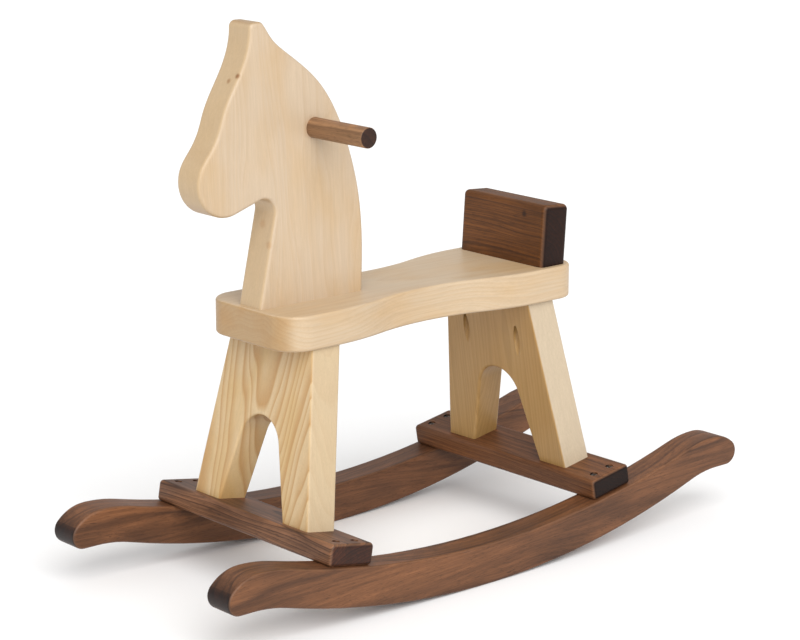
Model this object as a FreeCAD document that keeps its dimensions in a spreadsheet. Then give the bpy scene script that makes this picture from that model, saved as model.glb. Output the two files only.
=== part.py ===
"""Toddler's rocking horse: pale softwood boards on walnut crossbars and rockers.

Millimetres and degrees. X runs from the tail to the nose, Y to the horse's left, Z up.
The origin is on the floor, halfway between the front and rear tips of the rockers.
"""

import FreeCAD, Part
import math
import os

import Sketcher
from FreeCAD import Placement, Rotation, Vector

os.makedirs("parts", exist_ok=True)
doc = FreeCAD.newDocument("RockingHorse")

# Driving dimensions. Lengths along X are measured from the low point of the rockers.
dimensions = {
    # Rockers
    "rocker_thickness": 38,
    "rocker_depth": 45.5,
    "rocker_span": 312,
    "sole_radius": 1020,
    "crown_radius": 1115,
    "front_reach": 355,
    "rear_reach": 395,
    "sole_tip_length": 75,
    "toe_length": 32,
    "crown_tip_length": 80,
    "crown_setback": 39,
    "nose_radius": 15,
    # Crossbars
    "crossbar_length": 303,
    "crossbar_width": 58,
    "crossbar_thickness": 24,
    "crossbar_setback": 16.5,
    # Legs
    "leg_thickness": 38,
    "leg_foot_width": 196,
    "leg_top_width": 138,
    "arch_foot_width": 109,
    "arch_height": 104,
    "arch_radius": 33,
    # Seat
    "seat_height": 313,
    "seat_thickness": 38,
    "seat_length": 419,
    "seat_front_width": 147,
    "seat_rear_width": 151,
    "seat_waist_width": 107,
    "seat_front_flank": 26.5,
    "seat_rear_flank": 31.5,
    "seat_front_corner_radius": 33,
    "seat_rear_corner_radius": 28,
    # Head board
    "head_thickness": 38,
    "head_height": 301,
    "neck_setback": 5.5,
    "neck_width": 140,
    "throat_radius": 15,
    "muzzle_radius": 36.5,
    "ear_corner_radius": 7,
    "ear_top_width": 20,
    # Backrest
    "backrest_setback": 52.5,
    "backrest_thickness": 38,
    "backrest_width": 136,
    "backrest_height": 69,
    "backrest_rake": 4,
    # Handle
    "handle_diameter": 22,
    "handle_length": 214,
    "handle_setback": 75,
    "handle_rise": 185,
    # Eased edges
    "board_edge_radius": 3,
    "crossbar_edge_radius": 4.5,
    "head_edge_radius": 4,
    "backrest_edge_radius": 6,
    "handle_edge_radius": 1.5,
    # Screws
    "screw_diameter": 5,
    "screw_head_diameter": 8.6,
    "screw_head_depth": 2.6,
    "screw_head_sunk": 1.5,
    "screw_recess_depth": 2,
    "rocker_screw_length": 55,
    "foot_screw_length": 70,
    "neck_screw_length": 70,
    "backrest_screw_length": 70,
    "rocker_screw_pitch": 25,
    "foot_screw_pitch": 14,
    "neck_screw_front": 20,
    "neck_screw_middle": 86,
    "neck_screw_rear": 122,
    "backrest_screw_inset": 14,
    "backrest_screw_pitch": 84,
    "pocket_diameter": 9.5,
    "pocket_angle": 15,
    "pocket_entry": 50,
    "pocket_pitch": 84,
    "pocket_shoulder": 24,
    "pocket_screw_length": 44,
    "pocket_head_depth": 2.4,
    # Fits
    "bore_clearance": 0.15,
    "handle_clearance": 0.1,
}

sheet = doc.addObject("Spreadsheet::Sheet", "Dimensions")
for row, (alias, value) in enumerate(dimensions.items(), start=1):
    sheet.set(f"A{row}", alias.replace("_", " "))
    sheet.set(f"B{row}", str(value))
    sheet.setAlias(f"B{row}", alias)
doc.recompute()


def size(alias):
    """Value of a cell of the sheet."""
    return float(getattr(sheet, alias))


# Places that several pieces share, worked out from the driving dimensions.
low_point = (size("rear_reach") - size("front_reach")) / 2
seat_top = size("seat_height")
seat_underside = seat_top - size("seat_thickness")
seat_end = size("seat_length") / 2
crossbar_reach = seat_end - size("crossbar_setback")
neck_front = seat_end - size("neck_setback")
backrest_front = seat_end - size("backrest_setback")
rocker_middle = (size("rocker_span") - size("rocker_thickness")) / 2
crown_centre = size("rocker_depth") + size("crown_radius")
flat_half_angle = math.asin(size("crossbar_width") / 2 / size("crown_radius"))
flat_distance = size("crown_radius") * math.cos(flat_half_angle)
tilt = math.asin(crossbar_reach / flat_distance)
flat_height = crown_centre - flat_distance * math.cos(tilt)
deck_rise = size("crossbar_thickness")
deck_reach = crossbar_reach - deck_rise * math.sin(tilt)
deck_height = flat_height + deck_rise * math.cos(tilt)
leg_length = (seat_underside - deck_height) / math.cos(tilt)
trim = 2 * size("board_edge_radius")


# ---------------------------------------------------------------- helpers


def new_body(label):
    body = doc.addObject("PartDesign::Body", label)
    body.Label = label + "_board"
    return body


def new_sketch(body, role, name):
    """Sketch on one of the body's own origin planes."""
    sketch = body.newObject("Sketcher::SketchObject", name)
    plane = next(part for part in body.Origin.OriginFeatures if part.Role == role)
    sketch.AttachmentSupport = [(plane, "")]
    sketch.MapMode = "FlatFace"
    return sketch


def add_loop(sketch, edges):
    """Add edges that follow each other, and tie each end to the next start."""
    first = sketch.GeometryCount
    sketch.addGeometry(edges, False)
    for index in range(len(edges)):
        here = first + index
        there = first + (index + 1) % len(edges)
        ends = [(a, b) for a in (1, 2) for b in (1, 2)]
        a, b = min(ends, key=lambda pair: sketch.getPoint(here, pair[0]).distanceToPoint(
            sketch.getPoint(there, pair[1])))
        sketch.addConstraint(Sketcher.Constraint("Coincident", here, a, there, b))
    return first


def bind(sketch, name, constraint, expression):
    """Add a constraint and drive it from the sheet."""
    index = sketch.addConstraint(constraint)
    sketch.renameConstraint(index, name)
    sketch.setExpression(f"Constraints.{name}", expression)


def pad(body, sketch, length, name):
    """Pad a sketch evenly to both sides of its plane."""
    feature = body.newObject("PartDesign::Pad", name)
    feature.Profile = sketch
    feature.SideType = "Symmetric"
    feature.setExpression("Length", length)
    doc.recompute()
    return feature


def pocket_both_ways(body, sketch, name):
    """Cut a sketch through everything, both ways, and make sure that it cut."""
    before = body.Tip.Shape.Volume
    feature = body.newObject("PartDesign::Pocket", name)
    feature.Profile = sketch
    feature.SideType = "Symmetric"
    feature.Type = "ThroughAll"
    doc.recompute()
    if feature.Shape.Volume >= before:
        raise RuntimeError(name + " cut nothing")
    return feature


def ease(body, base, edges, radius, name):
    """Round the named edges of the body's last feature."""
    feature = body.newObject("PartDesign::Fillet", name)
    feature.Base = (base, edges)
    feature.setExpression("Radius", radius)
    doc.recompute()
    return feature


def rim_edges(shape, axis):
    """Edges of the flat faces that look along an axis, by name."""
    names = []
    for index, edge in enumerate(shape.Edges, start=1):
        for face in shape.Faces:
            flat = face.Surface.TypeId == "Part::GeomPlane"
            if not flat or abs(face.normalAt(0, 0).dot(axis)) < 0.999:
                continue
            if any(edge.isSame(other) for other in face.Edges):
                names.append(f"Edge{index}")
                break
    return names


def arc(start, middle, end):
    return Part.Arc(start, middle, end)


def line(start, end):
    return Part.LineSegment(start, end)


def polygon(corners):
    """Lines from corner to corner and back to the first."""
    points = [Vector(across, up, 0) for across, up in corners]
    return [line(points[i], points[(i + 1) % len(points)]) for i in range(len(points))]


def polar(centre, radius, degrees):
    turn = math.radians(degrees)
    return centre + Vector(math.cos(turn), math.sin(turn), 0) * radius


def spline(points, start_direction, end_direction):
    """Smooth curve through points that leaves and arrives along two directions.

    The direction at each point between comes from the rule that the bend doesn't jump
    there, which gives one equation a point, solved down the row and back.
    """
    last = len(points) - 1
    steps = [(points[i + 1] - points[i]).Length for i in range(last)]
    slopes = [(points[i + 1] - points[i]) / steps[i] for i in range(last)]
    tangents = [Vector(start_direction).normalize()]
    shares = [0.0]
    for i in range(1, last):
        weight = 2 * (steps[i - 1] + steps[i]) - steps[i] * shares[-1]
        target = (slopes[i - 1] * steps[i] + slopes[i] * steps[i - 1]) * 3
        tangents.append((target - tangents[-1] * steps[i]) / weight)
        shares.append(steps[i - 1] / weight)
    tangents.append(Vector(end_direction).normalize())
    for i in range(last - 1, 0, -1):
        tangents[i] = tangents[i] - tangents[i + 1] * shares[i]
    curve = Part.BSplineCurve()
    curve.interpolate(Points=points, Tangents=tangents, TangentFlags=[True] * (last + 1))
    for knot in range(curve.NbKnots - 1, 1, -1):
        curve.removeKnot(knot, 1, 0.01)
    return curve


# ---------------------------------------------------------------- rockers


def rocker_end(reach, side):
    """Edges of one tip of the rocker, from the end of the sole to the end of the crown.

    The sole and the crown both ease from the long arc to level, and the nose is a
    round that runs into a flatter arc on top.
    """
    def at(along, up):
        return Vector(low_point + side * along, up, 0)

    sole = size("sole_radius")
    sole_end = reach - size("sole_tip_length")
    sole_slope = math.asin(sole_end / sole)
    sole_up = sole * (1 - math.cos(sole_slope))
    toe = reach - size("toe_length")
    toe_bend = (toe - sole_end) / math.sin(sole_slope)
    toe_up = sole_up + toe_bend * (1 - math.cos(sole_slope))

    crown = size("crown_radius")
    crown_end = reach - size("crown_tip_length")
    crown_slope = math.asin(crown_end / crown)
    crown_up = size("rocker_depth") + crown * (1 - math.cos(crown_slope))
    peak = reach - size("crown_setback")
    peak_bend = (peak - crown_end) / math.sin(crown_slope)
    peak_up = crown_up + peak_bend * (1 - math.cos(crown_slope))

    nose = size("nose_radius")
    run = size("crown_setback") - nose
    rise = peak_up - toe_up - nose
    brow = ((run + nose) ** 2 + rise ** 2 - 2 * (run + nose) * nose) / (2 * (rise - nose))
    turn = math.atan2(brow - rise, run)
    nose_up = toe_up + nose

    def on_nose(angle):
        return at(reach - nose + nose * math.cos(angle), nose_up + nose * math.sin(angle))

    def on_brow(angle):
        return at(peak + brow * math.cos(angle), peak_up - brow + brow * math.sin(angle))

    def on_bend(along, up, radius, angle):
        return at(along - radius * math.sin(angle), up - radius * (1 - math.cos(angle)))

    toe_point = at(toe, toe_up)
    sole_point = at(sole_end, sole_up)
    crown_point = at(crown_end, crown_up)
    peak_point = at(peak, peak_up)
    nose_start = on_nose(-math.pi / 2)
    nose_end = on_nose(turn)
    return [
        arc(sole_point, on_bend(toe, toe_up, toe_bend, sole_slope / 2), toe_point),
        line(toe_point, nose_start),
        arc(nose_start, on_nose((turn - math.pi / 2) / 2), nose_end),
        arc(nose_end, on_brow((turn + math.pi / 2) / 2), peak_point),
        arc(peak_point, on_bend(peak, peak_up, peak_bend, crown_slope / 2), crown_point),
    ], sole_point, crown_point


def on_crown(angle):
    radius = size("crown_radius")
    return Vector(low_point + radius * math.sin(angle), crown_centre - radius * math.cos(angle), 0)


def crown_arc(start, end):
    """Piece of the crown's long arc between two angles."""
    return arc(on_crown(start), on_crown((start + end) / 2), on_crown(end))


def rocker_outline():
    front, front_sole, front_crown = rocker_end(size("front_reach"), 1)
    rear, rear_sole, rear_crown = rocker_end(size("rear_reach"), -1)
    outer = tilt + flat_half_angle
    inner = tilt - flat_half_angle
    crown = size("crown_radius")
    front_end = math.asin((front_crown.x - low_point) / crown)
    rear_end = math.asin((rear_crown.x - low_point) / crown)
    sole = arc(rear_sole, Vector(low_point, 0, 0), front_sole)
    top = [
        crown_arc(front_end, outer),
        line(on_crown(outer), on_crown(inner)),
        crown_arc(inner, -inner),
        line(on_crown(-inner), on_crown(-outer)),
        crown_arc(-outer, rear_end),
    ]
    return [sole] + front + top + rear[::-1]


def make_rocker(label, side):
    body = new_body(label)
    sketch = new_sketch(body, "XZ_Plane", label + "_side_view")
    first = add_loop(sketch, rocker_outline())
    bind(sketch, "sole_arc", Sketcher.Constraint("Radius", first, size("sole_radius")),
         "Dimensions.sole_radius")
    bind(sketch, "nose_round", Sketcher.Constraint("Radius", first + 3, size("nose_radius")),
         "Dimensions.nose_radius")
    board = pad(body, sketch, "Dimensions.rocker_thickness", label + "_pad")
    ease(body, board, rim_edges(board.Shape, Vector(0, 1, 0)), "Dimensions.board_edge_radius",
         label + "_eased")
    body.Placement = Placement(Vector(0, side * rocker_middle, 0), Rotation())
    return body


# ---------------------------------------------------------------- crossbars and legs


def deck_placement(side):
    """Frame on top of a crossbar: X outwards along its width, Z square to its face."""
    turn = Rotation(Vector(0, 0, 1), 0 if side > 0 else 180)
    lean = Rotation(Vector(0, 1, 0), -math.degrees(tilt))
    base = Vector(low_point + side * deck_reach, 0, deck_height)
    return Placement(base, turn.multiply(lean))


def make_crossbar(label, side):
    body = new_body(label)
    sketch = new_sketch(body, "XY_Plane", label + "_plan")
    wide = size("crossbar_width") / 2
    long = size("crossbar_length") / 2
    first = add_loop(sketch, polygon([(-wide, -long), (wide, -long), (wide, long), (-wide, long)]))
    bind(sketch, "bar_width", Sketcher.Constraint("DistanceX", first, 1, first, 2, 2 * wide),
         "Dimensions.crossbar_width")
    bind(sketch, "bar_length", Sketcher.Constraint("DistanceY", first + 1, 1, first + 1, 2, 2 * long),
         "Dimensions.crossbar_length")
    board = pad(body, sketch, "Dimensions.crossbar_thickness", label + "_pad")
    every = [f"Edge{index + 1}" for index in range(len(board.Shape.Edges))]
    ease(body, board, every, "Dimensions.crossbar_edge_radius", label + "_eased")
    below = Placement(Vector(0, 0, -size("crossbar_thickness") / 2), Rotation())
    body.Placement = deck_placement(side).multiply(below)
    return body


def leg_outline():
    """Front view of a leg board: straight outer edges and an arch with a round top."""
    foot = size("leg_foot_width") / 2
    top = size("leg_top_width") / 2
    slope = (foot - top) / leg_length
    radius = size("arch_radius")
    gap = size("arch_foot_width") / 2
    centre_up = size("arch_height") - radius
    reach = math.hypot(gap, centre_up)
    angle = math.atan2(-centre_up, gap) + math.acos(radius / reach)
    touch = Vector(radius * math.cos(angle), centre_up + radius * math.sin(angle), 0)
    gap_slope = (gap - touch.x) / touch.y
    high = leg_length + trim + size("leg_thickness") * math.tan(tilt)

    def outer(up, side):
        return Vector(side * (foot - slope * up), up, 0)

    def inner(up, side):
        return Vector(side * (gap - gap_slope * up), up, 0)

    mirrored = Vector(-touch.x, touch.y, 0)
    apex = Vector(0, size("arch_height"), 0)
    return [
        line(inner(-trim, 1), outer(-trim, 1)),
        line(outer(-trim, 1), outer(high, 1)),
        line(outer(high, 1), outer(high, -1)),
        line(outer(high, -1), outer(-trim, -1)),
        line(outer(-trim, -1), inner(-trim, -1)),
        line(inner(-trim, -1), mirrored),
        arc(mirrored, apex, touch),
        line(touch, inner(-trim, 1)),
    ]


def make_leg(label, side):
    """Leg board, cut level under the seat and square on top of its crossbar."""
    body = new_body(label)
    sketch = new_sketch(body, "YZ_Plane", label + "_front_view")
    first = add_loop(sketch, leg_outline())
    bind(sketch, "arch_round", Sketcher.Constraint("Radius", first + 6, size("arch_radius")),
         "Dimensions.arch_radius")
    board = pad(body, sketch, "Dimensions.leg_thickness", label + "_pad")
    ease(body, board, rim_edges(board.Shape, Vector(1, 0, 0)), "Dimensions.board_edge_radius",
         label + "_eased")

    # The same frame as the crossbar's top, so the seat's underside slopes here.
    cuts = new_sketch(body, "XZ_Plane", label + "_end_cuts")
    far = size("leg_thickness")
    fall = far * math.tan(tilt)
    above = leg_length + 3 * trim + 2 * fall
    add_loop(cuts, polygon([(-far, leg_length + fall), (far, leg_length - fall), (far, above),
                            (-far, above)]))
    add_loop(cuts, polygon([(-far, -2 * trim), (far, -2 * trim), (far, 0), (-far, 0)]))
    pocket_both_ways(body, cuts, label + "_ends")
    body.Placement = deck_placement(side)
    return body


# ---------------------------------------------------------------- seat


def seat_outline():
    """Plan of the seat: round corners, straight flanks and a waist of tangent arcs."""
    waist = size("seat_waist_width") / 2

    def quarter(end, side, flank):
        """From the middle of an end round to the narrowest point of the waist."""
        wide = size(f"seat_{end}_width") / 2
        corner = size(f"seat_{end}_corner_radius")
        run = seat_end - corner - size(f"seat_{end}_flank")
        corner_middle = corner * (1 - math.cos(math.pi / 4))
        sweep = 2 * math.atan2(wide - waist, run)
        bend = run / 2 / math.sin(sweep)
        step = bend * (1 - math.cos(sweep / 2))
        half_run = bend * math.sin(sweep / 2)

        def at(along, across):
            return Vector(side * along, flank * across, 0)

        joint = at(run / 2, (wide + waist) / 2)
        return [
            line(at(seat_end, 0), at(seat_end, wide - corner)),
            arc(at(seat_end, wide - corner), at(seat_end - corner_middle, wide - corner_middle),
                at(seat_end - corner, wide)),
            line(at(seat_end - corner, wide), at(run, wide)),
            arc(at(run, wide), at(run - half_run, wide - step), joint),
            arc(joint, at(half_run, waist + step), at(0, waist)),
        ]

    left = quarter("front", 1, 1) + quarter("rear", -1, 1)[::-1]
    right = quarter("rear", -1, -1) + quarter("front", 1, -1)[::-1]
    return left + right


def make_seat(label):
    body = new_body(label)
    sketch = new_sketch(body, "XY_Plane", label + "_plan")
    first = add_loop(sketch, seat_outline())
    radius = size("seat_front_corner_radius")
    bind(sketch, "front_corner", Sketcher.Constraint("Radius", first + 1, radius),
         "Dimensions.seat_front_corner_radius")
    board = pad(body, sketch, "Dimensions.seat_thickness", label + "_pad")
    ease(body, board, rim_edges(board.Shape, Vector(0, 0, 1)), "Dimensions.board_edge_radius",
         label + "_eased")
    middle = (seat_top + seat_underside) / 2
    body.Placement = Placement(Vector(low_point, 0, middle), Rotation())
    return body


# ---------------------------------------------------------------- head board

# Points of the horse's profile that the arcs don't give, in mm forward of the neck's
# front corner and above the seat, drawn for a board of these two sizes.
drawn_height = 301
drawn_neck_width = 140
throat_centre = (-7, 101.5)
muzzle_centre = (40.5, 140)
muzzle_end_angle = 25
face_points = [(61.5, 172.5), (50.3, 191.5), (44.8, 207), (33.8, 229.5), (20.7, 252), (11.6, 274)]
crest_points = [(-20.7, 283.5), (-39.9, 267.2), (-59.6, 253), (-79.8, 235.8), (-99.9, 210)]
nape_points = [(-124.4, 155), (-133.7, 122), (-139.2, 88), (-141.2, 55)]


def head_outline():
    """Side view of the head board, starting at the front corner of the neck."""
    stretch = size("head_height") / drawn_height
    widen = size("neck_width") / drawn_neck_width

    def at(point):
        return Vector(point[0] * widen, point[1] * stretch, 0)

    throat = size("throat_radius")
    muzzle = size("muzzle_radius")
    throat_middle = at(throat_centre)
    muzzle_middle = at(muzzle_centre)

    # The neck's front edge runs from its corner to the left side of the throat's round.
    corner = Vector(0, 0, 0)
    rise = throat_middle.Length
    lean = math.atan2(throat_middle.y, throat_middle.x) + math.asin(throat / rise)
    throat_start = Vector(math.cos(lean), math.sin(lean), 0) * math.sqrt(rise ** 2 - throat ** 2)
    below = Vector(math.cos(lean), math.sin(lean), 0) * (-trim / math.sin(lean))

    # A straight jaw touches the top of the throat's round and the bottom of the muzzle.
    across = muzzle_middle - throat_middle
    drop = math.asin((throat + muzzle) / across.Length)
    jaw = math.atan2(across.y, across.x) - drop
    upward = Vector(-math.sin(jaw), math.cos(jaw), 0)
    throat_end = throat_middle + upward * throat
    muzzle_start = muzzle_middle - upward * muzzle
    throat_way = (throat_start + throat_end) / 2 - throat_middle
    throat_top = throat_middle + throat_way.normalize() * throat

    muzzle_end = polar(muzzle_middle, muzzle, muzzle_end_angle)
    start_angle = math.degrees(jaw) - 90
    muzzle_tip = polar(muzzle_middle, muzzle, (start_angle + muzzle_end_angle) / 2)

    # The blunt ear has two round corners.
    ear = size("ear_corner_radius")
    ear_front = at((8.6, drawn_height)).x
    ear_back = ear_front - size("ear_top_width")
    front_corner = Vector(ear_front - ear, size("head_height") - ear, 0)
    back_corner = Vector(ear_back + ear, size("head_height") - ear, 0)
    back_angle = 140
    crest_start = polar(back_corner, ear, back_angle)
    crest_direction = polar(Vector(), 1, back_angle + 90)

    face = [muzzle_end] + [at(point) for point in face_points] + [polar(front_corner, ear, 0)]
    back = [at(point) for point in crest_points + nape_points] + [Vector(-size("neck_width"), -trim, 0)]
    base_end = back[-1]
    return [
        line(corner + below, throat_start),
        arc(throat_start, throat_top, throat_end),
        line(throat_end, muzzle_start),
        arc(muzzle_start, muzzle_tip, muzzle_end),
        spline(face, polar(Vector(), 1, muzzle_end_angle + 90), Vector(0, 1, 0)),
        arc(polar(front_corner, ear, 0), polar(front_corner, ear, 45), polar(front_corner, ear, 90)),
        line(polar(front_corner, ear, 90), polar(back_corner, ear, 90)),
        arc(polar(back_corner, ear, 90), polar(back_corner, ear, (back_angle + 90) / 2), crest_start),
        spline([crest_start] + back, crest_direction, Vector(0.02, -1, 0)),
        line(base_end, corner + below),
    ]


def make_head(label):
    body = new_body(label)
    sketch = new_sketch(body, "XZ_Plane", label + "_side_view")
    first = add_loop(sketch, head_outline())
    bind(sketch, "throat_round", Sketcher.Constraint("Radius", first + 1, size("throat_radius")),
         "Dimensions.throat_radius")
    bind(sketch, "muzzle_round", Sketcher.Constraint("Radius", first + 3, size("muzzle_radius")),
         "Dimensions.muzzle_radius")
    board = pad(body, sketch, "Dimensions.head_thickness", label + "_pad")
    ease(body, board, rim_edges(board.Shape, Vector(0, 1, 0)), "Dimensions.head_edge_radius",
         label + "_eased")
    foot = new_sketch(body, "XZ_Plane", label + "_foot_cut")
    far = 2 * size("neck_width")
    add_loop(foot, polygon([(-far, -2 * trim), (far, -2 * trim), (far, 0), (-far, 0)]))
    pocket_both_ways(body, foot, label + "_foot")
    body.Placement = Placement(Vector(low_point + neck_front, 0, seat_top), Rotation())
    return body


# ---------------------------------------------------------------- backrest


def make_backrest(label):
    """Block across the rear of the seat, raked back, with its foot cut level."""
    body = new_body(label)
    thick = size("backrest_thickness")
    rake = math.radians(size("backrest_rake"))
    sketch = new_sketch(body, "YZ_Plane", label + "_front_view")
    wide = size("backrest_width") / 2
    tall = size("backrest_height") / math.cos(rake)
    down = trim + thick * math.tan(rake)
    first = add_loop(sketch, polygon([(-wide, -down), (wide, -down), (wide, tall), (-wide, tall)]))
    bind(sketch, "block_width", Sketcher.Constraint("DistanceX", first, 1, first, 2, 2 * wide),
         "Dimensions.backrest_width")
    board = pad(body, sketch, "Dimensions.backrest_thickness", label + "_pad")
    upper = [f"Edge{index}" for index, edge in enumerate(board.Shape.Edges, start=1)
             if edge.CenterOfMass.z > 0]
    ease(body, board, upper, "Dimensions.backrest_edge_radius", label + "_eased")
    foot = new_sketch(body, "XZ_Plane", label + "_foot_cut")
    fall = thick * math.tan(rake)
    add_loop(foot, polygon([(-thick, -3 * down), (thick, -3 * down), (thick, -fall), (-thick, fall)]))
    pocket_both_ways(body, foot, label + "_foot")
    half_foot = thick / 2 / math.cos(rake)
    base = Vector(low_point - backrest_front - half_foot, 0, seat_top)
    body.Placement = Placement(base, Rotation(Vector(0, 1, 0), -size("backrest_rake")))
    return body


# ---------------------------------------------------------------- handle

handle_centre = Vector(low_point + neck_front - size("handle_setback"), 0,
                       seat_top + size("handle_rise"))
handle_axis = Rotation(Vector(1, 0, 0), 90)


def make_handle(label):
    """Round bar across the head, glued in its bore."""
    body = new_body(label)
    sketch = new_sketch(body, "XY_Plane", label + "_section")
    sketch.addGeometry(Part.Circle(Vector(), Vector(0, 0, 1), size("handle_diameter") / 2), False)
    bind(sketch, "handle_bar", Sketcher.Constraint("Diameter", 0, size("handle_diameter")),
         "Dimensions.handle_diameter")
    sketch.addConstraint(Sketcher.Constraint("Coincident", 0, 3, -1, 1))
    bar = pad(body, sketch, "Dimensions.handle_length", label + "_pad")
    ease(body, bar, rim_edges(bar.Shape, Vector(0, 0, 1)), "Dimensions.handle_edge_radius",
         label + "_eased")
    body.Placement = Placement(handle_centre, handle_axis)
    return body


def handle_bore():
    radius = size("handle_diameter") / 2 + size("handle_clearance")
    length = 2 * size("head_thickness")
    bore = Part.makeCylinder(radius, length, Vector(0, 0, -length / 2))
    bore.Placement = Placement(handle_centre, handle_axis)
    return bore


# ---------------------------------------------------------------- screws


def make_screw(label, profile):
    """One screw with its face at height zero and its point downwards.

    The half profile is turned about Z, then the crossed driver slots are cut.
    """
    body = new_body(label)
    sketch = new_sketch(body, "XZ_Plane", label + "_half_profile")
    add_loop(sketch, polygon(profile))
    turned = body.newObject("PartDesign::Revolution", label + "_turned")
    turned.Profile = sketch
    turned.ReferenceAxis = (sketch, ["V_Axis"])
    turned.Angle = 360
    doc.recompute()

    long = size("screw_head_diameter") * 0.275
    thin = size("screw_head_diameter") * 0.065
    cross = new_sketch(body, "XY_Plane", label + "_cross")
    corners = []
    for turn in range(4):
        spin = Rotation(Vector(0, 0, 1), 90 * turn)
        turned_corners = [spin.multVec(Vector(across, along, 0))
                          for across, along in ((thin, thin), (thin, long), (-thin, long))]
        corners += [(corner.x, corner.y) for corner in turned_corners]
    add_loop(cross, polygon(corners))
    before = body.Tip.Shape.Volume
    recess = body.newObject("PartDesign::Pocket", label + "_recess")
    recess.Profile = cross
    recess.Type = "Length"
    recess.setExpression("Length", "Dimensions.screw_recess_depth")
    doc.recompute()
    if recess.Shape.Volume >= before:
        raise RuntimeError(label + " has no recess")
    return body


def countersunk_screw(label, length):
    head = size("screw_head_diameter") / 2
    shank = size("screw_diameter") / 2
    return make_screw(label, [(0, 0), (head, 0), (shank, -size("screw_head_depth")),
                              (shank, 2 * shank - length), (0, -length)])


def pan_screw(label, length):
    """Pocket screw with a flat underside to its head; the length is below the head."""
    head = size("pocket_diameter") / 2 - 2 * size("bore_clearance")
    shank = size("screw_diameter") / 2
    under = -size("pocket_head_depth")
    return make_screw(label, [(0, 0), (head, 0), (head, under), (shank, under),
                              (shank, under + 2 * shank - length), (0, under - length)])


def drill(profile):
    """Solid to cut away: a half profile turned about Z."""
    points = [Vector(radius, 0, height) for radius, height in profile]
    face = Part.Face(Part.makePolygon(points + points[:1]))
    return face.revolve(Vector(), Vector(0, 0, 1), 360)


def countersunk_drill(length):
    """Hole for a countersunk screw, with a mouth that reaches out of the board."""
    gap = size("bore_clearance")
    head = size("screw_head_diameter") / 2 + gap
    shank = size("screw_diameter") / 2 + gap
    mouth = 2 * size("screw_head_diameter")
    return drill([(0, mouth), (head, mouth), (head, 0), (shank, -size("screw_head_depth")),
                  (shank, -length - gap), (0, -length - gap)])


def pocket_drill(length):
    """Stepped pocket bore whose shoulder carries the screw's head."""
    gap = size("bore_clearance")
    bore = size("pocket_diameter") / 2
    shank = size("screw_diameter") / 2 + gap
    out = 3 * size("pocket_entry")
    under = -size("pocket_head_depth")
    return drill([(0, out), (bore, out), (bore, under), (shank, under),
                  (shank, under - length - gap), (0, under - length - gap)])


upside_down = Rotation(Vector(1, 0, 0), 180)


def rocker_screw_places(side):
    """From the top of a crossbar into both rockers, square to the crossbar."""
    frame = deck_placement(side)
    half = size("rocker_screw_pitch") / 2
    depth = -size("screw_head_sunk")
    return [frame.multiply(Placement(Vector(x, y, depth), Rotation()))
            for y in (-rocker_middle, rocker_middle) for x in (-half, half)]


def foot_screw_places(side):
    """From under a crossbar up into the two feet of its leg board."""
    frame = deck_placement(side)
    foot_middle = (size("leg_foot_width") + size("arch_foot_width")) / 4
    half = size("foot_screw_pitch") / 2
    depth = size("screw_head_sunk") - size("crossbar_thickness")
    return [frame.multiply(Placement(Vector(0, flank * foot_middle + shift, depth), upside_down))
            for flank in (-1, 1) for shift in (-half, half)]


def pocket_screw_places(side):
    """From the inner face of a leg board up into the seat."""
    frame = deck_placement(side)
    half = size("pocket_pitch") / 2
    angle = math.radians(size("pocket_angle"))
    inner = -size("leg_thickness") / 2
    entry = leg_length - inner * math.tan(tilt) - size("pocket_entry")
    along = size("pocket_entry") / math.cos(angle) - size("pocket_shoulder")
    along -= size("pocket_head_depth")
    across = inner + along * math.sin(angle)
    up = entry + along * math.cos(angle)
    upward = Rotation(Vector(0, 1, 0), 180 + size("pocket_angle"))
    return [frame.multiply(Placement(Vector(across, y, up), upward)) for y in (-half, half)]


def neck_screw_places():
    """From under the seat into the neck, in line along the middle."""
    height = seat_underside + size("screw_head_sunk")
    return [Placement(Vector(low_point + neck_front - size(back), 0, height), upside_down)
            for back in ("neck_screw_front", "neck_screw_middle", "neck_screw_rear")]


def backrest_screw_places():
    """From under the seat into the backrest, behind the rear leg."""
    half = size("backrest_screw_pitch") / 2
    rake = math.radians(size("backrest_rake"))
    reach = backrest_front + size("backrest_thickness") / math.cos(rake)
    reach -= size("backrest_screw_inset")
    height = seat_underside + size("screw_head_sunk")
    return [Placement(Vector(low_point - reach, y, height), upside_down) for y in (-half, half)]


def placed(shape, placement):
    copy = shape.copy()
    copy.Placement = placement
    return copy


# ---------------------------------------------------------------- assembly

nodes = []
holes = {}


def fasten(label, make, make_drill, length, places, boards):
    """Make a group of equal screws, and note their holes for each board they pass."""
    screw = make(label + "_one", size(length))
    group = doc.addObject("Part::Feature", label)
    group.Label = label
    group.Shape = Part.makeCompound([placed(screw.Shape, place) for place in places])
    nodes.append(group)
    for board in boards:
        holes.setdefault(board, []).extend(placed(make_drill(size(length)), place) for place in places)


for end, side in (("front", 1), ("rear", -1)):
    fasten(end + "_rocker_screws", countersunk_screw, countersunk_drill, "rocker_screw_length",
           rocker_screw_places(side), (end + "_crossbar", "left_rocker", "right_rocker"))
    fasten(end + "_foot_screws", countersunk_screw, countersunk_drill, "foot_screw_length",
           foot_screw_places(side), (end + "_crossbar", end + "_leg"))
    fasten(end + "_pocket_screws", pan_screw, pocket_drill, "pocket_screw_length",
           pocket_screw_places(side), (end + "_leg", "seat"))
fasten("neck_screws", countersunk_screw, countersunk_drill, "neck_screw_length",
       neck_screw_places(), ("seat", "head"))
fasten("backrest_screws", countersunk_screw, countersunk_drill, "backrest_screw_length",
       backrest_screw_places(), ("seat", "backrest"))
holes["head"].append(handle_bore())

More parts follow.
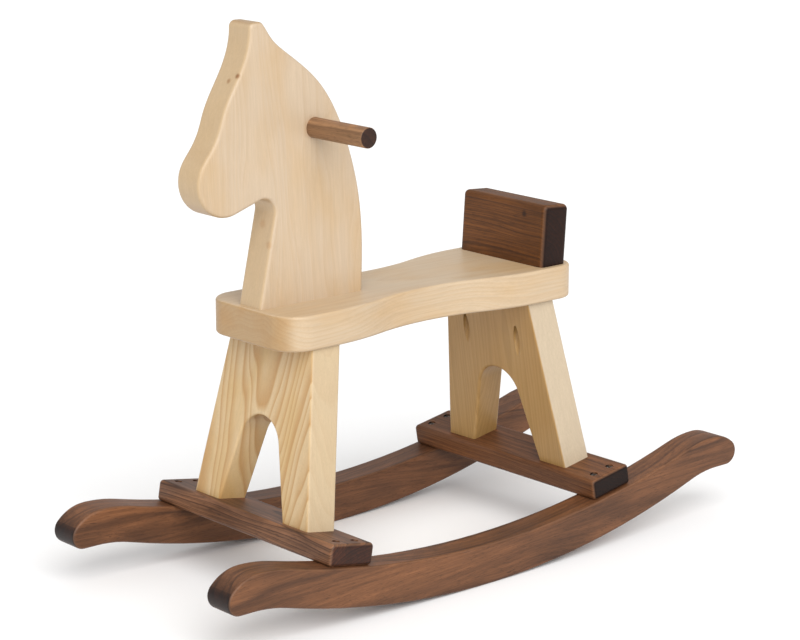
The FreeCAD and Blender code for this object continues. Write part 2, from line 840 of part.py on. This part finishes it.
boards = {
    "left_rocker": make_rocker("left_rocker", 1),
    "right_rocker": make_rocker("right_rocker", -1),
    "front_crossbar": make_crossbar("front_crossbar", 1),
    "rear_crossbar": make_crossbar("rear_crossbar", -1),
    "front_leg": make_leg("front_leg", 1),
    "rear_leg": make_leg("rear_leg", -1),
    "seat": make_seat("seat"),
    "head": make_head("head"),
    "backrest": make_backrest("backrest"),
}
for label, body in boards.items():
    tool = doc.addObject("Part::Feature", label + "_drills")
    tool.Shape = Part.makeCompound(holes[label])
    cut = doc.addObject("Part::Cut", label + "_drilled")
    cut.Base = body
    cut.Tool = tool
    body.Label = label + "_board"
    cut.Label = label
    doc.recompute()
    if cut.Shape.Volume >= body.Shape.Volume:
        raise RuntimeError(label + " was not drilled")
    nodes.append(cut)

handle = make_handle("handle")
handle.Label = "handle"
nodes.append(handle)
doc.recompute()

for item in doc.Objects:
    if {"Invalid", "Error"} & set(item.State):
        raise RuntimeError(f"{item.Label}: {item.State}")
for node in nodes:
    shape = node.Shape
    if shape.isNull() or not shape.isValid():
        raise RuntimeError(node.Label + " has a bad shape")
    shape.exportStep(f"parts/{node.Label}.step")
    box = shape.BoundBox
    print(f"{node.Label:22s} solids {len(shape.Solids)}  x {box.XMin:8.2f} {box.XMax:8.2f}"
          f"  y {box.YMin:8.2f} {box.YMax:8.2f}  z {box.ZMin:8.2f} {box.ZMax:8.2f}")
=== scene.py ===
import math

import bpy
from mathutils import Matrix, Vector

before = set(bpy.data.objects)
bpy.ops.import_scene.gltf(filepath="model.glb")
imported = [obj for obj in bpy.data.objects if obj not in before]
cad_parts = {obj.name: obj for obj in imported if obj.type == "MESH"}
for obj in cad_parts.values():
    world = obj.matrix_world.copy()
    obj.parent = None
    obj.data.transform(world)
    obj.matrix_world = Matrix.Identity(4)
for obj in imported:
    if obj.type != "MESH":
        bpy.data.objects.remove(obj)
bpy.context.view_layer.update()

print("frame loaded:", len(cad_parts), "nodes")


# Small helpers

def hexColor(text):
    parts = [int(text[i:i + 2], 16) / 255 for i in (1, 3, 5)]
    return [c / 12.92 if c <= 0.04045 else ((c + 0.055) / 1.055) ** 2.4 for c in parts] + [1.0]


def addNode(tree, kind, settings=None, inputs=None):
    node = tree.nodes.new(kind)
    for name, value in (settings or {}).items():
        setattr(node, name, value)
    for name, value in (inputs or {}).items():
        if isinstance(value, bpy.types.NodeSocket):
            tree.links.new(value, node.inputs[name])
        else:
            node.inputs[name].default_value = value
    return node


def newMaterial(name):
    material = bpy.data.materials.new(name)
    material.use_nodes = True
    material.node_tree.nodes.clear()
    return material


def setRamp(node, stops):
    ramp = node.color_ramp
    while len(ramp.elements) > 1:
        ramp.elements.remove(ramp.elements[-1])
    ramp.elements[0].position = stops[0][0]
    ramp.elements[0].color = (stops[0][1],) * 3 + (1.0,)
    for position, level in stops[1:]:
        ramp.elements.new(position).color = (level,) * 3 + (1.0,)
    return node.outputs["Color"]


# Noise stretched along the grain: how often it repeats in a millimetre, on each axis.
def perMillimetre(width, length):
    return (1 / width, 1 / width, 1 / length)


# Wood. Every board is cut from a solid pattern of rings round a pith line, so its
# faces, edges and ends agree. Widths and lengths of the pattern are in millimetres.
# The pith, the spots and sideFrom are places on the horse, in metres.

pineLook = {
    "name": "pineWaterClearSatin",  # softwood under thin satin varnish: even, creamy, a faint gloss
    "early": "#C0AB91",  # wide pale part of a ring
    "late": "#B08F66",  # narrow golden part of a ring
    "warm": "#BEA07B",  # slow drift of colour over a board
    "end": "#E3D3B7",  # what the ends of the fibres are multiplied by
    "endStrength": 0.9,
    "endFrom": 0.5,  # how squarely a face has to cut the grain before it darkens
    "sideAxis": (0, 1, 0),
    "ring": 4.6,  # from one ring to the next
    "ringStops": ((0.0, 0.0), (0.35, 0.10), (0.70, 0.55), (0.90, 1.0), (1.0, 0.0)),
    "ringStrength": 0.4,
    "wander": 9.0,  # how far the rings stray from round
    "streak": 2.6,
    "streakLength": 150.0,
    "streakDepth": 0.04,
    "fiber": 0.5,
    "fiberLength": 30.0,
    "fiberDepth": 0.06,
    "poreDepth": 0.0,  # softwood has no open pores
    "rough": 0.42,
    "gloss": 0.4,
    "coat": 0.10,
    "coatRough": 0.3,
    "spots": (),  # place, radius, strength and colour of each spot: knots and stains, painted shade and painted highlights
}
walnutLook = {
    "name": "walnutOiledMatte",  # hardwood rubbed with oil: deep streaks, open pores, a low sheen
    "early": "#774D30",
    "late": "#2C1B13",
    "warm": "#5F3D26",
    "end": "#604B40",
    "endStrength": 1.0,
    "endFrom": 0.5,
    "sideAxis": (0, 1, 0),
    "worn": "#86634C",  # rounded edges painted paler: a painted highlight
    "wornStrength": 0.22,
    "pore": "#26170F",
    "ring": 13.0,
    "ringStops": (
        (0.0, 0.05), (0.30, 0.20), (0.55, 0.65), (0.72, 0.25), (0.90, 1.0), (0.97, 0.1),
        (1.0, 0.05)),
    "ringStrength": 0.62,
    "wander": 10.0,
    "streak": 3.2,
    "streakLength": 130.0,
    "streakDepth": 0.3,
    "fiber": 0.7,
    "fiberLength": 26.0,
    "fiberDepth": 0.18,
    "poreDepth": 0.55,
    "rough": 0.5,
    "gloss": 0.3,
    "coat": 0.04,
    "coatRough": 0.4,
    "spots": (),
}

# What both woods share. A pair named From and To is where a mask starts and is full.
pattern = {
    "bendWidth": 60.0, "bendLength": 330.0,  # slow noise that bends the rings
    "bendGain": 4.0,  # the noise seldom strays more than a quarter, so this brings it to the wander
    "spacingScale": 0.37, "spacingShift": 2.4,  # noise per ring, and its shift counted in rings
    "patchWidth": 45.0, "patchLength": 110.0,  # warm patches
    "patchFrom": 0.38, "patchTo": 0.72, "patchSeed": 3,
    "sideFade": 0.008,  # metres over which the side's tone comes in
    "sideFacingFrom": 0.5, "sideFacingTo": 0.9,
    "strandRough": 0.6, "strandFrom": 0.3, "strandTo": 0.7,
    "poreWidth": 0.5, "poreLength": 9.0, "poreFrom": 0.58, "poreTo": 0.70,
    "endTo": 0.93,
    "wornFrom": 0.3, "wornTo": 0.6,  # painted edge highlight: an edge starts to turn to the side, and has turned
    "flatFrom": 0.75, "flatTo": 0.95,  # the side is nearly flat, and flat
    "spotReach": 0.006,  # a spot this close to the surface, in metres, is moved onto it
    "spotRagged": 0.7, "spotCore": 0.6, "spotRim": 1.5,  # all in radii of the spot
    "bumpStrength": 0.3, "bumpHeight": 0.0002,  # how deep the fibres and pores seem, in metres
}

# Turns that lay the pattern's long axis where a board's grain runs.
alongX = (0.0, math.pi / 2, 0.0)
alongY = (math.pi / 2, 0.0, 0.0)
alongZ = (0.0, 0.0, 0.0)

millimetre = 0.001

# A Mix node has its colours on these sockets.
mixFactor, mixUnder, mixOver, mixResult = 0, 6, 7, 2


def woodMaterial(piece, look):
    material = newMaterial(look["name"] + piece[0].upper() + piece[1:])
    tree = material.node_tree
    place = addNode(tree, "ShaderNodeTexCoord")
    grain = addNode(tree, "ShaderNodeMapping", {"vector_type": "TEXTURE"}, {
        "Vector": place.outputs["Object"], "Location": look["pith"],
        "Rotation": [a + b for a, b in zip(look["grain"], look["lean"])],
        "Scale": (millimetre, millimetre, millimetre)}).outputs[0]
    seed = look["seed"]

    # Slow noise bends the rings, and a second one spaces them unevenly.
    slow = addNode(tree, "ShaderNodeVectorMath", {"operation": "MULTIPLY"}, {
        0: grain, 1: perMillimetre(pattern["bendWidth"], pattern["bendLength"])}).outputs[0]
    drift = addNode(tree, "ShaderNodeTexNoise", {"noise_dimensions": "4D"}, {
        "Vector": slow, "W": seed, "Scale": 1.0, "Detail": 2.0})
    centred = addNode(tree, "ShaderNodeVectorMath", {"operation": "SUBTRACT"}, {
        0: drift.outputs["Color"], 1: (0.5, 0.5, 0.5)}).outputs[0]
    bend = look["wander"] * pattern["bendGain"]
    bent = addNode(tree, "ShaderNodeVectorMath", {"operation": "MULTIPLY_ADD"}, {
        0: centred, 1: (bend, bend, 0), 2: grain}).outputs[0]
    across = addNode(tree, "ShaderNodeVectorMath", {"operation": "MULTIPLY"}, {
        0: bent, 1: (1, 1, 0)}).outputs[0]
    fromPith = addNode(tree, "ShaderNodeVectorMath", {"operation": "LENGTH"}, {
        0: across}).outputs["Value"]
    ringAt = addNode(tree, "ShaderNodeMath", {"operation": "DIVIDE"}, {
        0: fromPith, 1: look["ring"]}).outputs[0]
    uneven = addNode(tree, "ShaderNodeTexNoise", {"noise_dimensions": "1D"}, {
        "W": ringAt, "Scale": pattern["spacingScale"], "Detail": 1.0}).outputs[0]
    ringAt = addNode(tree, "ShaderNodeMath", {"operation": "MULTIPLY_ADD"}, {
        0: uneven, 1: pattern["spacingShift"], 2: ringAt}).outputs[0]
    ringPart = addNode(tree, "ShaderNodeMath", {"operation": "FRACT"}, {0: ringAt}).outputs[0]
    late = setRamp(addNode(tree, "ShaderNodeValToRGB", None, {"Fac": ringPart}), look["ringStops"])
    late = addNode(tree, "ShaderNodeMath", {"operation": "MULTIPLY", "use_clamp": True}, {
        0: late, 1: look["ringStrength"]}).outputs[0]

    # Warm patches
    patchAt = addNode(tree, "ShaderNodeVectorMath", {"operation": "MULTIPLY"}, {
        0: grain, 1: perMillimetre(pattern["patchWidth"], pattern["patchLength"])}).outputs[0]
    patch = addNode(tree, "ShaderNodeTexNoise", {"noise_dimensions": "4D"}, {
        "Vector": patchAt, "W": seed + pattern["patchSeed"], "Scale": 1.0,
        "Detail": 3.0}).outputs[0]
    warmth = addNode(tree, "ShaderNodeMapRange", {"interpolation_type": "SMOOTHSTEP"}, {
        "Value": patch, "From Min": pattern["patchFrom"],
        "From Max": pattern["patchTo"]}).outputs[0]
    color = addNode(tree, "ShaderNodeMix", {"data_type": "RGBA"}, {
        mixFactor: warmth, mixUnder: hexColor(look["early"]),
        mixOver: hexColor(look["warm"])}).outputs[mixResult]
    color = addNode(tree, "ShaderNodeMix", {"data_type": "RGBA"}, {
        mixFactor: late, mixUnder: color, mixOver: hexColor(look["late"])}).outputs[mixResult]

    # The sides of some boards have another tone, from a given distance off the middle.
    facingSide = addNode(tree, "ShaderNodeVectorMath", {"operation": "DOT_PRODUCT"}, {
        0: place.outputs["Normal"], 1: look["sideAxis"]}).outputs["Value"]
    facingSide = addNode(tree, "ShaderNodeMath", {"operation": "ABSOLUTE"}, {
        0: facingSide}).outputs[0]
    if "side" in look:
        offMiddle = addNode(tree, "ShaderNodeVectorMath", {"operation": "DOT_PRODUCT"}, {
            0: place.outputs["Object"], 1: look["sideAxis"]}).outputs["Value"]
        offMiddle = addNode(tree, "ShaderNodeMath", {"operation": "ABSOLUTE"}, {
            0: offMiddle}).outputs[0]
        outer = addNode(tree, "ShaderNodeMapRange", {"interpolation_type": "SMOOTHSTEP"}, {
            "Value": offMiddle, "From Min": look["sideFrom"],
            "From Max": look["sideFrom"] + pattern["sideFade"],
            "To Max": look["sideStrength"]}).outputs[0]
        outer = addNode(tree, "ShaderNodeMapRange", {"interpolation_type": "SMOOTHSTEP"}, {
            "Value": facingSide, "From Min": pattern["sideFacingFrom"],
            "From Max": pattern["sideFacingTo"], "To Max": outer}).outputs[0]
        color = addNode(tree, "ShaderNodeMix", {"data_type": "RGBA"}, {
            mixFactor: outer, mixUnder: color, mixOver: hexColor(look["side"])}).outputs[mixResult]

    # Long streaks that show from afar and fine fibres that show up close
    for width, length, depth in ((look["streak"], look["streakLength"], look["streakDepth"]),
                                 (look["fiber"], look["fiberLength"], look["fiberDepth"])):
        strandAt = addNode(tree, "ShaderNodeVectorMath", {"operation": "MULTIPLY"}, {
            0: bent, 1: perMillimetre(width, length)}).outputs[0]
        strand = addNode(tree, "ShaderNodeTexNoise", {"noise_dimensions": "4D"}, {
            "Vector": strandAt, "W": seed + width, "Scale": 1.0, "Detail": 3.0,
            "Roughness": pattern["strandRough"]}).outputs[0]
        shade = addNode(tree, "ShaderNodeMapRange", None, {
            "Value": strand, "From Min": pattern["strandFrom"], "From Max": pattern["strandTo"],
            "To Min": 1 - depth, "To Max": 1 + depth})
        color = addNode(tree, "ShaderNodeMix", {"data_type": "RGBA", "blend_type": "MULTIPLY"}, {
            mixFactor: 1.0, mixUnder: color, mixOver: shade.outputs[0]}).outputs[mixResult]
    height = strand
    if look["poreDepth"]:
        poreAt = addNode(tree, "ShaderNodeVectorMath", {"operation": "MULTIPLY"}, {
            0: bent, 1: perMillimetre(pattern["poreWidth"], pattern["poreLength"])}).outputs[0]
        pore = addNode(tree, "ShaderNodeTexNoise", {"noise_dimensions": "4D"}, {
            "Vector": poreAt, "W": seed, "Scale": 1.0, "Detail": 1.0}).outputs[0]
        pore = addNode(tree, "ShaderNodeMapRange", {"interpolation_type": "SMOOTHSTEP"}, {
            "Value": pore, "From Min": pattern["poreFrom"], "From Max": pattern["poreTo"],
            "To Max": look["poreDepth"]}).outputs[0]
        color = addNode(tree, "ShaderNodeMix", {"data_type": "RGBA"}, {
            mixFactor: pore, mixUnder: color, mixOver: hexColor(look["pore"])}).outputs[mixResult]
        height = addNode(tree, "ShaderNodeMath", {"operation": "SUBTRACT"}, {
            0: height, 1: pore}).outputs[0]

    # The ends of the fibres drink more finish and turn darker.
    facing = addNode(tree, "ShaderNodeVectorMath", {"operation": "DOT_PRODUCT"}, {
        0: place.outputs["Normal"], 1: look["axis"]}).outputs["Value"]
    facing = addNode(tree, "ShaderNodeMath", {"operation": "ABSOLUTE"}, {0: facing}).outputs[0]
    end = addNode(tree, "ShaderNodeMapRange", {"interpolation_type": "SMOOTHSTEP"}, {
        "Value": facing, "From Min": look["endFrom"], "From Max": pattern["endTo"],
        "To Max": look["endStrength"]}).outputs[0]
    color = addNode(tree, "ShaderNodeMix", {"data_type": "RGBA", "blend_type": "MULTIPLY"}, {
        mixFactor: end, mixUnder: color, mixOver: hexColor(look["end"])}).outputs[mixResult]

    # Rounded edges are painted paler: a painted highlight along them.
    if "worn" in look:
        turned = addNode(tree, "ShaderNodeMapRange", {"interpolation_type": "SMOOTHSTEP"}, {
            "Value": facingSide, "From Min": pattern["wornFrom"], "From Max": pattern["wornTo"],
            "To Max": look["wornStrength"]}).outputs[0]
        worn = addNode(tree, "ShaderNodeMapRange", {"interpolation_type": "SMOOTHSTEP"}, {
            "Value": facingSide, "From Min": pattern["flatFrom"], "From Max": pattern["flatTo"],
            "To Min": turned, "To Max": 0.0}).outputs[0]
        color = addNode(tree, "ShaderNodeMix", {"data_type": "RGBA"}, {
            mixFactor: worn, mixUnder: color, mixOver: hexColor(look["worn"])}).outputs[mixResult]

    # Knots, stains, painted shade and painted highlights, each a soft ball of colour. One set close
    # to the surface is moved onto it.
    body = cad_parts[piece]
    graph = bpy.context.evaluated_depsgraph_get()
    for near, radius, strength, stainAndPaintedLight in look["spots"]:
        found, onSurface = body.closest_point_on_mesh(
            near, distance=pattern["spotReach"], depsgraph=graph)[:2]
        spot = onSurface if found else near
        away = addNode(tree, "ShaderNodeVectorMath", {"operation": "DISTANCE"}, {
            0: place.outputs["Object"], 1: spot}).outputs["Value"]
        ragged = addNode(tree, "ShaderNodeMath", {"operation": "MULTIPLY_ADD"}, {
            0: strand, 1: radius * pattern["spotRagged"], 2: away}).outputs[0]
        inside = addNode(tree, "ShaderNodeMapRange", {"interpolation_type": "SMOOTHSTEP"}, {
            "Value": ragged, "From Min": radius * pattern["spotCore"],
            "From Max": radius * pattern["spotRim"], "To Min": strength, "To Max": 0.0}).outputs[0]
        color = addNode(tree, "ShaderNodeMix", {"data_type": "RGBA"}, {
            mixFactor: inside, mixUnder: color, mixOver: hexColor(stainAndPaintedLight)}).outputs[mixResult]

    bump = addNode(tree, "ShaderNodeBump", None, {
        "Height": height, "Strength": pattern["bumpStrength"],
        "Distance": pattern["bumpHeight"]}).outputs[0]
    skin = addNode(tree, "ShaderNodeBsdfPrincipled", None, {
        "Base Color": color, "Roughness": look["rough"], "Specular IOR Level": look["gloss"],
        "Coat Weight": look["coat"], "Coat Roughness": look["coatRough"], "Normal": bump})
    addNode(tree, "ShaderNodeOutputMaterial", None, {"Surface": skin.outputs[0]})
    return material


# A board takes its look and may change any value of it.
boards = {
    "head": {
        **pineLook, "grain": alongZ, "lean": (0.0, 0.05, 0.0), "axis": (0, 0, 1),
        "pith": (0.10, 0.16, 0.0), "seed": 1.3, "ringStrength": 0.2, "warm": "#BEA380",
        "sideAxis": (1, 0, 0), "side": "#BBA07A", "sideStrength": 0.75,
        "sideFrom": -0.02,  # below nought, so the tone is on every edge that faces ahead or back
        "spots": (((0.245, 0.015, 0.560), 0.0036, 0.85, "#80532A"),
                  ((0.250, 0.005, 0.555), 0.0036, 0.65, "#8A5E30"),
                  ((0.205, 0.000, 0.400), 0.0060, 0.35, "#A8794A"),
                  ((0.210, 0.015, 0.380), 0.0050, 0.35, "#A8794A"),
                  # The last spot is painted shade: a warm brown ring on the head round the handle's
                  # base.
                  ((0.152, 0.019, 0.498), 0.0130, 0.5, "#A87848"))},
    "seat": {
        **pineLook, "grain": alongX, "lean": (0.0, 0.02, 0.0), "axis": (1, 0, 0),
        "pith": (0.0, 0.02, 0.20), "seed": 4.1, "early": "#C1AB8E", "warm": "#C0A27B",
        "ringStrength": 0.3},
    "front_leg": {
        **pineLook, "grain": alongZ, "lean": (-0.08, 0.023, 0.0), "axis": (0, 0, 1),
        "pith": (0.180, -0.010, 0.188), "seed": 7.7,
        "early": "#CBB189", "warm": "#C6A672", "late": "#B0834A",
        "ring": 9.5, "ringStrength": 0.8, "wander": 13.0,
        "side": "#BFAA8A", "sideFrom": 0.056, "sideStrength": 0.85},
    "rear_leg": {
        **pineLook, "grain": alongZ, "lean": (0.0, 0.17, 0.0), "axis": (0, 0, 1),
        "pith": (-0.10, 0.02, 0.2), "seed": 9.2,
        # Painted shade: this leg's wood tones are pine darkened and deepened for the shade under
        # the seat; its outer sides keep a paler tone.
        "early": "#B08C58", "warm": "#AB844C", "late": "#95703C",
        "side": "#BEAF98", "sideFrom": 0.056, "sideStrength": 0.85},
    "left_rocker": {
        **walnutLook, "grain": alongX, "lean": (0.0, 0.05, 0.0), "axis": (1, 0, 0),
        "pith": (0.0, 0.09, 0.05), "seed": 2.2, "endFrom": 0.3, "end": "#5C473B"},
    "right_rocker": {
        **walnutLook, "grain": alongX, "lean": (0.0, -0.05, 0.0), "axis": (1, 0, 0),
        "pith": (0.0, -0.07, 0.03), "seed": 6.4, "endFrom": 0.3, "end": "#5C473B"},
    "front_crossbar": {
        **walnutLook, "grain": alongY, "lean": (0.03, 0.0, 0.0), "axis": (0, 1, 0),
        "pith": (0.20, 0.0, 0.02), "seed": 3.6, "early": "#8A6044",
        "ring": 4.2, "ringStrength": 0.85, "wander": 7.0, "end": "#86664F"},
    "rear_crossbar": {
        **walnutLook, "grain": alongY, "lean": (-0.03, 0.0, 0.0), "axis": (0, 1, 0),
        "pith": (-0.15, 0.0, 0.0), "seed": 8.8,
        "ring": 5.2, "ringStrength": 0.6, "wander": 8.0, "end": "#45362D", "gloss": 0.18},
    "backrest": {
        **walnutLook, "grain": alongY, "lean": (0.02, 0.0, 0.0), "axis": (0, 1, 0),
        "pith": (-0.10, 0.0, 0.30), "seed": 5.5, "early": "#724621", "warm": "#5E3818",
        "ring": 4.6, "wander": 9.0, "gloss": 0.18,
        "spots": (((-0.140, 0.035, 0.370), 0.0045, 0.8, "#22130C"),)},
    "handle": {
        **walnutLook, "grain": alongY, "lean": (0.02, 0.0, 0.0), "axis": (0, 1, 0),
        "pith": (0.17, 0.0, 0.47), "seed": 11.0,
        "early": "#977150", "warm": "#8C6546", "late": "#5A3F2C",
        "wander": 9.0, "wornStrength": 0.0,
        # The first spot is a painted highlight on top near the handle's end; the second is painted
        # shade where the handle enters the head.
        "spots": (((0.150, 0.085, 0.510), 0.0080, 0.45, "#B07A48"),
                  ((0.149, 0.012, 0.498), 0.0125, 0.6, "#3A2417"))},
}

for name, board in boards.items():
    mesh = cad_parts[name].data
    mesh.materials.clear()
    mesh.materials.append(woodMaterial(name, board))
print("wood on", len(boards), "boards")


# Screws

screws = {
    "color": "#9A9690", "rough": 0.34, "roughSpread": 0.12,
    "markWidth": 0.5, "markDetail": 4.0,  # turning marks, in millimetres
}

# Dulled bright plating with fine turning marks: small hard glints
steel = newMaterial("zincPlatedSteel")
steelTree = steel.node_tree
steelPlace = addNode(steelTree, "ShaderNodeTexCoord")
marks = addNode(steelTree, "ShaderNodeTexNoise", None, {
    "Vector": steelPlace.outputs["Object"], "Scale": 1000 / screws["markWidth"],
    "Detail": screws["markDetail"]})
steelRough = addNode(steelTree, "ShaderNodeMapRange", None, {
    "Value": marks.outputs[0], "To Min": screws["rough"] - screws["roughSpread"],
    "To Max": screws["rough"] + screws["roughSpread"]})
steelSkin = addNode(steelTree, "ShaderNodeBsdfPrincipled", None, {
    "Base Color": hexColor(screws["color"]), "Metallic": 1.0,
    "Roughness": steelRough.outputs[0]})
addNode(steelTree, "ShaderNodeOutputMaterial", None, {"Surface": steelSkin.outputs[0]})
for name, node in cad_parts.items():
    if name.endswith("screws"):
        node.data.materials.clear()
        node.data.materials.append(steel)
print("steel on the screws")


# Floor, light and camera

stage = {
    "floorSize": 30.0, "floorColor": "#FAFAFA", "world": 0.66,
    "sunFrom": (0.45, 0.85, 0.75), "sunPower": 2.7, "sunSpread": 1.0,
    "cameraAt": (1.8222, 2.0730, 0.9432), "cameraAim": (0.014, 0.0, 0.2565),
    "lens": 115.15, "sensor": 36.0, "lensShift": 0.0094,
}

for item in bpy.context.selected_objects:
    item.select_set(False)
bpy.ops.mesh.primitive_plane_add(size=stage["floorSize"], location=(0, 0, 0))
floor = bpy.context.object
floor.name = "studioFloor"
paint = newMaterial("matteStudioPaint")  # flat pale paint: takes a soft shadow and shows no gloss
paintSkin = addNode(paint.node_tree, "ShaderNodeBsdfDiffuse", None, {
    "Color": hexColor(stage["floorColor"])})
addNode(paint.node_tree, "ShaderNodeOutputMaterial", None, {"Surface": paintSkin.outputs[0]})
floor.data.materials.append(paint)

world = bpy.data.worlds.new("studio")
bpy.context.scene.world = world
world.use_nodes = True
background = world.node_tree.nodes.get("Background")
background.inputs["Color"].default_value = (1, 1, 1, 1)
background.inputs["Strength"].default_value = stage["world"]

bpy.ops.object.light_add(type="SUN", location=stage["sunFrom"])
sun = bpy.context.object
sun.name = "softSun"
sun.data.energy = stage["sunPower"]
sun.data.angle = stage["sunSpread"]
sun.rotation_euler = Vector(stage["sunFrom"]).to_track_quat("Z", "Y").to_euler()

aim = Vector(stage["cameraAim"])
bpy.ops.object.camera_add(location=stage["cameraAt"])
camera = bpy.context.object
camera.rotation_euler = (aim - camera.location).to_track_quat("-Z", "Y").to_euler()
camera.data.lens = stage["lens"]
camera.data.sensor_width = stage["sensor"]
camera.data.shift_y = stage["lensShift"]
bpy.context.scene.camera = camera
bpy.context.scene.view_settings.view_transform = "Standard"
print("stage ready")
